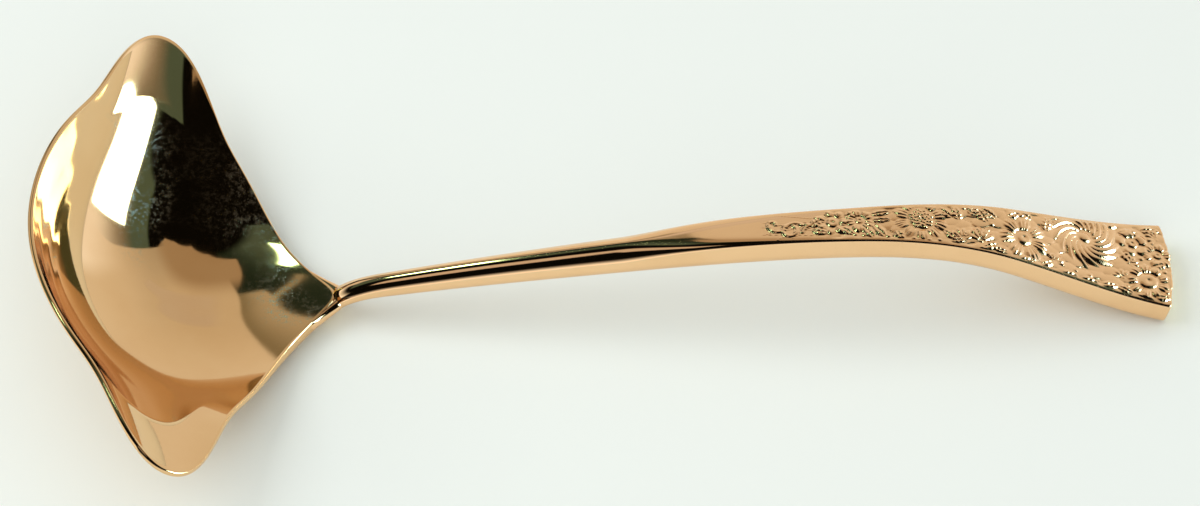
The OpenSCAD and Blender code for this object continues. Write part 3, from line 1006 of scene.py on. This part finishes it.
# Small fillers on the ground: cells a metre along, their slant, cells a metre across, and the reach in a
# cell and the height of a filler
FILLER_ALONG, FILLER_SLANT, FILLER_ACROSS = 420.0, 180.0, 650.0
FILLER_REACH, FILLER_LEVEL = 0.62, 0.45

# Soft edges of the border, of the relief's start and of the sunk ground, in metres
BORDER_SOFT, START_SOFT, GROUND_SOFT = 0.0005, 0.001, 0.003


def beaded_centre(along, across, reach, bead):
    """Beads packed in a flower's centre, in a sunflower's spiral, higher towards the middle."""
    found = []
    for i in range(BEADS):
        share = (i + 0.5) / BEADS
        r, a = reach * math.sqrt(share), i * GOLDEN_ANGLE
        found.append((along + r * math.cos(a), across + r * math.sin(a), bead, 1.4 - 0.35 * share))
    return found


def motif_object(name, names, rows):
    """A cloud of points that carries the motifs' values as attributes."""
    mesh = bpy.data.meshes.new(name)
    mesh.from_pydata([(0.0, 0.0, 0.0)] * len(rows), [], [])
    for column, label in enumerate(names):
        store_values(mesh, label, [float(row[column]) for row in rows])
    item = bpy.data.objects.new(name, mesh)
    bpy.context.scene.collection.objects.link(item)
    return item


def motif_tree(name, names, height_of):
    """Geometry group of a motif's height, from the place on the handle and the motif's values.

    The height is a function of the values, of the place from the motif's middle, seen from above with the
    handle's end at the right, and of its distance and angle.
    """
    labels = ["Along", "Across", "Motif along", "Motif across"] + names
    sockets = [(label, "NodeSocketFloat", 0.0) for label in labels]
    tree, given, end = new_tree(name, "GeometryNodeTree", sockets, [("Height", "NodeSocketFloat")])
    x = given["Motif along"] - given["Along"]
    y = given["Across"] - given["Motif across"]
    v = SimpleNamespace(**{label: given[label] for label in names})
    height = height_of(v, x, y, root(x * x + y * y), calc(tree, "ARCTAN2", y, x))
    join(tree, height, end.inputs["Height"])
    return tree


def flower_height(v, x, y, way, around):
    """Height of a flower of cushioned petals round a dome."""
    r = way / v.reach
    a = around - v.turn - v.twist * ease(r * 0.9)
    share = calc(a.tree, "FRACT", a * v.petals / v.span + 0.5) - 0.5
    side = size(share) * 2.0
    tip = 1.0 - side * side * 0.22
    swirled = ease(v.twist)
    body = root(most(1.0 - side ** 4.0, 0.0)) * (1.0 + swirled * share * 0.5)
    ridge = root(cos(share * v.ridges * (2 * math.pi)) * 0.5 + 0.5)
    body = body * (1.0 - (1.0 - ridge) * 0.4 * ease(v.ridges - 1.0))
    spoon = 0.45 + 0.55 * sin(limit((r - v.dome) / (1.0 - v.dome)) * 2.3)
    petal = body * spoon * limit((tip - r) / 0.3) ** 0.75 * ramp(r, v.dome, 0.12)
    off = size(calc(a.tree, "WRAP", a, math.pi, -math.pi))
    petal = petal * ease((v.span * 0.5 - off) * 8.0 + 0.5)
    inner = r / v.dome
    pit = 1.0 - 0.55 * (1.0 - swirled) * exp(inner * inner * -9.0)
    dome = root(most(1.0 - inner * inner, 0.0)) * 0.9 * pit
    return most(petal, dome) * v.level


def leaf_height(v, x, y, way, around):
    """Height of a pointed leaf with a middle vein and side veins."""
    c, s = cos(v.heading), sin(v.heading)
    p = limit((x * c + y * s) / v.reach)
    q = y * c - x * s
    e = size(q) / most(v.half_width * sin(p ** 0.75 * math.pi), 0.00002)
    body = most(1.0 - e * e, 0.0) ** 0.6
    middle = q / (v.half_width * 0.16)
    vein = 1.0 - 0.6 * exp(middle * middle * -1.0)
    rib = cos((p - e * 0.16) * v.veins * (2 * math.pi)) * 0.5 + 0.5
    return body * vein * (1.0 - (1.0 - rib) * 0.3) * (0.8 + 0.5 * sin(p * math.pi)) * v.level


def scroll_height(v, x, y, way, around):
    """Height of a round wire bent to an arc."""
    off = (way - v.radius) / v.wire
    a = calc(around.tree, "WRAP", around - v.start, 2 * math.pi, 0.0)
    return root(most(1.0 - off * off, 0.0)) * ease((v.sweep - a) * v.radius / v.wire) * 0.55


def bud_height(v, x, y, way, around):
    """Height of a round bead."""
    off = way / v.radius
    return root(most(1.0 - off * off, 0.0)) * v.level


def named_value(tree, name):
    """A named attribute of the geometry, as a field."""
    node = tree.nodes.new("GeometryNodeInputNamedAttribute")
    node.data_type = "FLOAT"
    node.inputs["Name"].default_value = name
    return out(tree, node, "Attribute")


def stamp(tree, geometry, points, count, group, names):
    """A repeat zone that stamps each motif of a cloud into the relief, the higher one winning."""
    start = tree.nodes.new("GeometryNodeRepeatInput")
    stop = tree.nodes.new("GeometryNodeRepeatOutput")
    start.pair_with_output(stop)
    start.inputs["Iterations"].default_value = count
    join(tree, geometry, start.inputs["Geometry"])
    info = add_node(tree, "GeometryNodeObjectInfo")
    info.inputs["Object"].default_value = points
    height = place_group(tree, group)
    join(tree, named_value(tree, "along"), height.inputs["Along"])
    join(tree, named_value(tree, "across"), height.inputs["Across"])
    for label, socket in zip(["motif_along", "motif_across"] + names, list(height.inputs)[2:]):
        sample = tree.nodes.new("GeometryNodeSampleIndex")
        sample.data_type = "FLOAT"
        join(tree, out(tree, info, "Geometry"), sample.inputs["Geometry"])
        join(tree, named_value(tree, label), sample.inputs["Value"])
        join(tree, out(tree, start, "Iteration"), sample.inputs["Index"])
        join(tree, out(tree, sample), socket)
    store = tree.nodes.new("GeometryNodeStoreNamedAttribute")
    store.data_type = "FLOAT"
    store.domain = "POINT"
    store.inputs["Name"].default_value = "relief"
    join(tree, out(tree, start, "Geometry"), store.inputs["Geometry"])
    join(tree, most(named_value(tree, "relief"), out(tree, height)), store.inputs["Value"])
    join(tree, out(tree, store), stop.inputs["Geometry"])
    return out(tree, stop, "Geometry")


def relief_clouds(relief):
    """The clouds of motifs, in metres and radians, each with its height group."""
    mm, turn = 0.001, math.radians(1)
    flowers = [(s * mm, y * mm, r * mm, n, m, w * turn, d, k, t * turn, p * turn)
               for s, y, r, n, m, w, d, k, t, p in FLOWERS]
    leaves = [(s * mm, y * mm, d * turn, r * mm, w * mm, n, k) for s, y, d, r, w, n, k in LEAVES]
    scrolls = [(s * mm, y * mm, r * mm, a * turn, w * turn, t * mm) for s, y, r, a, w, t in SCROLLS]
    buds = [(s * mm, y * mm, r * mm, BUD_LEVEL) for s, y, r in BUDS]
    buds += beaded_centre(*flowers[BEADED_FLOWER][:2], relief.bead_reach, relief.bead)
    made = []
    for name, rows, names, height_of in (
        ("flowers", flowers, ["reach", "petals", "ridges", "twist", "dome", "level", "turn", "span"],
         flower_height),
        ("leaves", leaves, ["heading", "reach", "half_width", "veins", "level"], leaf_height),
        ("scrolls", scrolls, ["radius", "start", "sweep", "wire"], scroll_height),
        ("buds", buds, ["radius", "level"], bud_height),
    ):
        points = motif_object("relief_" + name, ["motif_along", "motif_across"] + names, rows)
        made.append((points, len(rows), motif_tree("Height of " + name, names, height_of), names))
    return made


def relief_tree(relief, clouds, material):
    """Geometry tree that presses the flowers, leaves, scrolls and buds into the handle's top."""
    keys = ["rise", "sink", "border", "start", "ground_start", "fade", "fade_start", "fade_run"]
    sockets = [("Geometry", "NodeSocketGeometry", None), *size_sockets(relief, keys)]
    tree, given, end = new_tree("Relief of the handle", "GeometryNodeTree", sockets,
                                [("Geometry", "NodeSocketGeometry")])
    v = size_values(relief, keys, given)
    shape = given["Geometry"]
    for points, count, group, names in clouds:
        shape = stamp(tree, shape, points, count, group, names)
    along, across, border = (named_value(tree, label) for label in ("along", "across", "edge"))
    inside = ramp(border, v.border, BORDER_SOFT) * ease((v.start - along) / START_SOFT)
    sunk = ease((v.ground_start - along) / GROUND_SOFT)
    cells = tree.nodes.new("ShaderNodeTexVoronoi")
    cells.voronoi_dimensions = "2D"
    place = combine(tree, along * FILLER_ALONG + across * FILLER_SLANT, across * FILLER_ACROSS, 0.0)
    join(tree, place, cells.inputs["Vector"])
    cells.inputs["Scale"].default_value = 1.0
    far = out(tree, cells, "Distance") / FILLER_REACH
    filler = root(most(1.0 - far * far, 0.0)) * FILLER_LEVEL * sunk
    height = most(named_value(tree, "relief"), filler)
    height = height * (1.0 - v.fade * ramp(along, v.fade_start, v.fade_run))
    lift = inside * (v.rise * height - v.sink * sunk)
    normal = out(tree, tree.nodes.new("GeometryNodeInputNormal"))
    moved = add_node(tree, "GeometryNodeSetPosition", Geometry=shape,
                     Offset=vector_calc(tree, "SCALE", normal, lift))
    end_tree(tree, out(tree, moved), material, end)
    return tree


# The studio

# Lamps: azimuth and elevation in degrees, distance and width in metres, power in watts
LAMPS = {
    "studio_key": (172.0, 40.0, 2.4, 2.0, 35.5),
    "studio_fill": (90.0, 84.0, 2.6, 3.4, 16.0),
    "studio_front": (-95.0, 42.0, 2.4, 2.2, 15.0),
}

# Half width of the paper and its depth under the ladle, in metres
PAPER_HALF, PAPER_UNDER = 2.5, 0.0001

# The card behind the ladle, in metres: its sides, its distance, its foot and top, and where it glows
CARD_X, CARD_Y, CARD_Z = (-0.075, 0.085), 0.123, (0.130, 0.184)
GLOW_X, GLOW_Z = (-0.062, 0.070), (0.138, 0.166)

# Colours of the unlit room, and of the even light that the paper takes from it
DARK_ROOM = (0.003, 0.003, 0.002)
ROOM_LIGHT = (0.38, 0.39, 0.39)


def stage_sheet(name, corner, right, up, material):
    """A flat sheet of the studio, from one corner and its two sides."""
    corner, right, up = Vector(corner), Vector(right), Vector(up)
    mesh = bpy.data.meshes.new(name)
    mesh.from_pydata([corner, corner + right, corner + right + up, corner + up], [], [(0, 1, 2, 3)])
    mesh.materials.append(material)
    item = bpy.data.objects.new(name, mesh)
    bpy.context.scene.collection.objects.link(item)
    return item


def paper_material(colour):
    """Smooth pale paper with a faint mottle."""
    material, tree, shader = new_material("studio_paper")
    mottle = noise(tree, object_place(tree), 40.0, 5.0)
    mixed = over(tree, colour, [c * 0.985 for c in colour], mottle * 0.5)
    join(tree, mixed, shader.inputs["Base Color"])
    shader.inputs["Roughness"].default_value = 0.6
    shader.inputs["Specular IOR Level"].default_value = 0.0
    return material


def card_material():
    """A glowing card whose edges fade out."""
    material, tree, shader = new_material("studio_card")
    x, _, z = separate(tree, object_place(tree))
    glow = add_node(tree, "ShaderNodeEmission", Color=(0.66, 0.63, 0.60, 1.0))
    mix = tree.nodes.new("ShaderNodeMixShader")
    join(tree, window(x, *GLOW_X, 0.016) * window(z, *GLOW_Z, 0.012), mix.inputs[0])
    tree.links.new(tree.nodes.new("ShaderNodeBsdfTransparent").outputs[0], mix.inputs[1])
    tree.links.new(glow.outputs[0], mix.inputs[2])
    tree.links.new(mix.outputs[0], tree.nodes["Material Output"].inputs["Surface"])
    tree.nodes.remove(shader)
    return material


def room_layers(tree, azimuth, height):
    """Colours and masks of the mirrored room, from the back to the front, by angles in degrees."""
    # Gap at the right of the far sheet
    gap = over(tree, (1.0, 1.05, 1.05), (0.27, 0.26, 0.22), ease(height / 32.0))
    gap = over(tree, gap, (0.09, 0.15, 0.13), ramp(height, 28.0, 10.0))
    yield gap, window(azimuth, -18.0, 24.0, 3.0) * window(height, -5.0, 49.5, 3.0)
    # Dim wall at the left, with a pale stripe
    dim = over(tree, (0.015, 0.03, 0.022), (0.08, 0.13, 0.11), ramp(azimuth, 108.0, 42.0))
    yield dim, window(azimuth, 100.0, 200.0, 3.0) * window(height, 40.0, 77.0, 4.0)
    slant = height - (azimuth - 110.0) * 0.54
    yield (0.46, 0.45, 0.36), window(slant, 50.2, 51.4, 0.5) * window(azimuth, 106.0, 124.0, 2.0)
    # Grey strip at the left of the far sheet
    grey = over(tree, (0.22, 0.20, 0.13), (0.56, 0.54, 0.46), ramp(azimuth, 100.0, 10.0))
    yield grey, window(azimuth, 98.0, 109.7, 0.8) * window(height, -5.0, 53.5, 1.5)
    # Far sheet, darker towards its upper right
    sheet = over(tree, (0.85, 0.83, 0.77), (0.69, 0.65, 0.56), ease(height / 60.0))
    shade = 1.0 - 0.3 * ease((75.0 - azimuth) / 60.0) * ramp(height, 15.0, 45.0)
    mask = edge(azimuth, 16.0 + 7.0 * ease(height / 25.0), 1.2) * edge(101.5, azimuth, 1.0)
    yield vector_calc(tree, "SCALE", sheet, shade), mask * ramp(height, -20.0, 4.0) * ease(64.0 - height)
    # Warm sheet over it
    right = 16.0 + size(height - 63.0) + most(height - 69.0, 0.0) * 1.6
    top = 77.2 - most(azimuth - 85.0, 0.0) * 0.155
    mask = ramp(height, 51.0, 12.0) * edge(top, height, 0.8) * edge(azimuth, right, 1.2)
    yield (0.43, 0.35, 0.257), mask * edge(105.0 + (height - 58.0) * 0.9, azimuth, 1.2)
    # Glow low at the right
    yield (1.15, 1.24, 1.4), window(azimuth, 11.0, 34.0, 8.0) * (1.0 - ramp(height, -4.0, 36.0))
    # Light box at the right, and a slim one at the left
    top = 33.5 - (azimuth + 8.0) * 0.08
    mask = window(azimuth, -32.0, 10.5, 0.8) * edge(top, height, 0.8)
    yield (7.5, 11.5, 13.0), mask * ramp(height, 1.0, 2.0)
    top = 63.5 + (azimuth - 126.0) * 0.31
    foot = 62.0 + most(azimuth - 128.0, 0.0) * 0.1
    mask = window(azimuth, 129.0, 153.0, 0.8) * edge(top, height, 0.7)
    yield (6.0, 11.0, 8.0), mask * ramp(height, foot, 0.6)
    # Card and low wall at the near side
    yield (0.62, 0.56, 0.52), window(azimuth, -142.0, -112.0, 3.0) * window(height, 52.0, 66.0, 3.0)
    yield (1.25, 1.3, 1.35), window(azimuth, -150.0, -50.0, 20.0) * (1.0 - ramp(height, -2.0, 26.0))
    # Low wall at the left, and a wall beside it
    mask = ramp(size(azimuth), 148.0, 6.0) * ramp(height, -8.0, 4.0)
    yield (1.2, 1.25, 1.25), mask * (1.0 - ramp(height, 24.0, 12.0))
    yield (0.70, 0.68, 0.62), window(azimuth, 116.0, 150.0, 4.0) * window(height, 14.0, 42.0, 5.0)


def studio_world(scene):
    """The room: a picture of it for what the metal mirrors, and an even light for the rest."""
    world = bpy.data.worlds.new("studio_room")
    scene.world = world
    world.use_nodes = True
    tree = world.node_tree
    x, y, z = separate(tree, out(tree, add_node(tree, "ShaderNodeTexCoord"), "Generated"))
    azimuth = calc(tree, "ARCTAN2", y, x) * math.degrees(1)
    height = calc(tree, "ARCSINE", z) * math.degrees(1)
    picture = DARK_ROOM
    for colour, mask in room_layers(tree, azimuth, height):
        picture = over(tree, picture, colour, mask)
    mirrored = out(tree, tree.nodes.new("ShaderNodeLightPath"), "Is Glossy Ray")
    background = tree.nodes["Background"]
    join(tree, over(tree, ROOM_LIGHT, picture, mirrored), background.inputs["Color"])
    background.inputs["Strength"].default_value = 1.0


def soft_lamp(name, azimuth, elevation, distance, width, power):
    """A square lamp that faces the ladle and lights the paper softly."""
    data = bpy.data.lights.new(name, "AREA")
    data.size = width
    data.energy = power
    lamp = bpy.data.objects.new(name, data)
    a, e = math.radians(azimuth), math.radians(elevation)
    way = Vector((math.cos(a) * math.cos(e), math.sin(a) * math.cos(e), math.sin(e)))
    lamp.location = way * distance
    lamp.rotation_euler = way.to_track_quat("Z", "Y").to_euler()
    lamp.visible_glossy = False
    bpy.context.scene.collection.objects.link(lamp)


def studio_camera(scene, s):
    """The camera, from its angles, distance and target."""
    e, a = s.camera_height, s.camera_turn
    back = Vector((math.sin(a) * math.cos(e), -math.cos(a) * math.cos(e), math.sin(e)))
    right = (-back).cross(Vector((0, 0, 1))).normalized()
    up = right.cross(-back)
    c, r = math.cos(s.camera_roll), math.sin(s.camera_roll)
    place = Matrix((right * c + up * r, up * c - right * r, back)).transposed().to_4x4()
    place.translation = Vector(s.target) + back * s.camera_distance
    data = bpy.data.cameras.new("studio_camera")
    data.sensor_width = 36.0
    data.lens = s.lens
    data.clip_start, data.clip_end = 0.01, 20.0
    camera = bpy.data.objects.new("studio_camera", data)
    camera.matrix_world = place
    scene.collection.objects.link(camera)
    scene.camera = camera


# Operators

def body_piece(piece, node):
    """Ties a finished piece to the ladle's body and hides its CAD node."""
    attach(piece, "root")
    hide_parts(node)


class LADLE_OT_bowl(bpy.types.Operator):
    """Make the bowl with its two pouring lips"""

    bl_idname = "ladle.bowl"
    bl_label = "Bowl"

    def execute(self, context):
        b, finish = context.scene.ladle_bowl, context.scene.ladle_finish
        # The bowl carries the dull specks with their painted teal sheen
        material = gilt_material("gilt_bowl", finish.gilt, finish.gilt_deep, finish.polish,
                                 cloud=60.0, bump=0.15, haze_and_sheen=1.0)
        start = bpy.data.meshes.new("bowl_start")
        place = {"Place": tuple(bowl_shift(b))}
        piece = mesh_from_tree("ladle_bowl", start, bowl_tree(b, material), place)
        body_piece(piece, "bowl")
        return {"FINISHED"}


class LADLE_OT_handle(bpy.types.Operator):
    """Make the handle with its tongue and its flowered end"""

    bl_idname = "ladle.handle"
    bl_label = "Handle"

    def execute(self, context):
        scene = context.scene
        finish, relief = scene.ladle_finish, scene.ladle_relief
        mesh = handle_mesh(scene.ladle_handle, scene.ladle_bowl)
        # Painted light: the handle takes the brightened copy of the gilt
        material = gilt_material("gilt_handle", finish.brightened_struck, finish.brightened_struck_deep, finish.struck_polish,
                                 cloud=80.0, bump=0.15)
        clouds = relief_clouds(relief)
        piece = mesh_from_tree("ladle_handle", mesh, relief_tree(relief, clouds, material), {})
        for points, _, _, _ in clouds:
            bpy.data.objects.remove(points)
        body_piece(piece, "handle")
        return {"FINISHED"}


class LADLE_OT_seam(bpy.types.Operator):
    """Give the brazed seam under the bowl its finish"""

    bl_idname = "ladle.seam"
    bl_label = "Brazed seam"

    def execute(self, context):
        finish = context.scene.ladle_finish
        material = gilt_material("brazing_metal", finish.brazing, finish.gilt_deep, finish.brazing_polish,
                                 cloud=400.0, bump=0.6)
        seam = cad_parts["brazed_seam"]
        seam.data.materials.clear()
        seam.data.materials.append(material)
        return {"FINISHED"}


class LADLE_OT_stage(bpy.types.Operator):
    """Set up the paper, the studio light and the camera"""

    bl_idname = "ladle.stage"
    bl_label = "Studio"

    def execute(self, context):
        scene = context.scene
        scene.view_settings.view_transform = "Standard"
        stage_sheet("studio_floor", (-PAPER_HALF, -PAPER_HALF, -PAPER_UNDER), (2 * PAPER_HALF, 0, 0),
                    (0, 2 * PAPER_HALF, 0), paper_material(scene.ladle_finish.paper))
        card = stage_sheet("studio_card", (CARD_X[0], CARD_Y, CARD_Z[0]), (CARD_X[1] - CARD_X[0], 0, 0),
                           (0, 0, CARD_Z[1] - CARD_Z[0]), card_material())
        card.visible_camera = False
        card.visible_diffuse = False
        card.visible_shadow = False
        for name, values in LAMPS.items():
            soft_lamp(name, *values)
        studio_world(scene)
        studio_camera(scene, scene.ladle_stage)
        return {"FINISHED"}


# Panel and registration

class LADLE_PT_panel(bpy.types.Panel):
    """Makes the ladle's pieces and shows their sizes"""

    bl_idname = "LADLE_PT_panel"
    bl_label = "Gravy Ladle"
    bl_space_type = "VIEW_3D"
    bl_region_type = "UI"
    bl_category = "Ladle"

    def draw(self, context):
        for operator in OPERATORS:
            self.layout.operator(operator.bl_idname)
        for name, group in PROPERTY_GROUPS.items():
            box = self.layout.box()
            box.label(text=group.__doc__)
            for key in group.__annotations__:
                box.prop(getattr(context.scene, name), key)


OPERATORS = (LADLE_OT_bowl, LADLE_OT_handle, LADLE_OT_seam, LADLE_OT_stage)


def register():
    for group in (*PROPERTY_GROUPS.values(), *OPERATORS, LADLE_PT_panel):
        bpy.utils.register_class(group)
    for name, group in PROPERTY_GROUPS.items():
        setattr(bpy.types.Scene, name, bpy.props.PointerProperty(type=group))


def unregister():
    for name in PROPERTY_GROUPS:
        delattr(bpy.types.Scene, name)
    for group in reversed((*PROPERTY_GROUPS.values(), *OPERATORS, LADLE_PT_panel)):
        bpy.utils.unregister_class(group)


def main():
    register()
    bpy.ops.ladle.stage()
    bpy.ops.ladle.bowl()
    bpy.ops.ladle.handle()
    bpy.ops.ladle.seam()


if __name__ == "__main__":
    main()
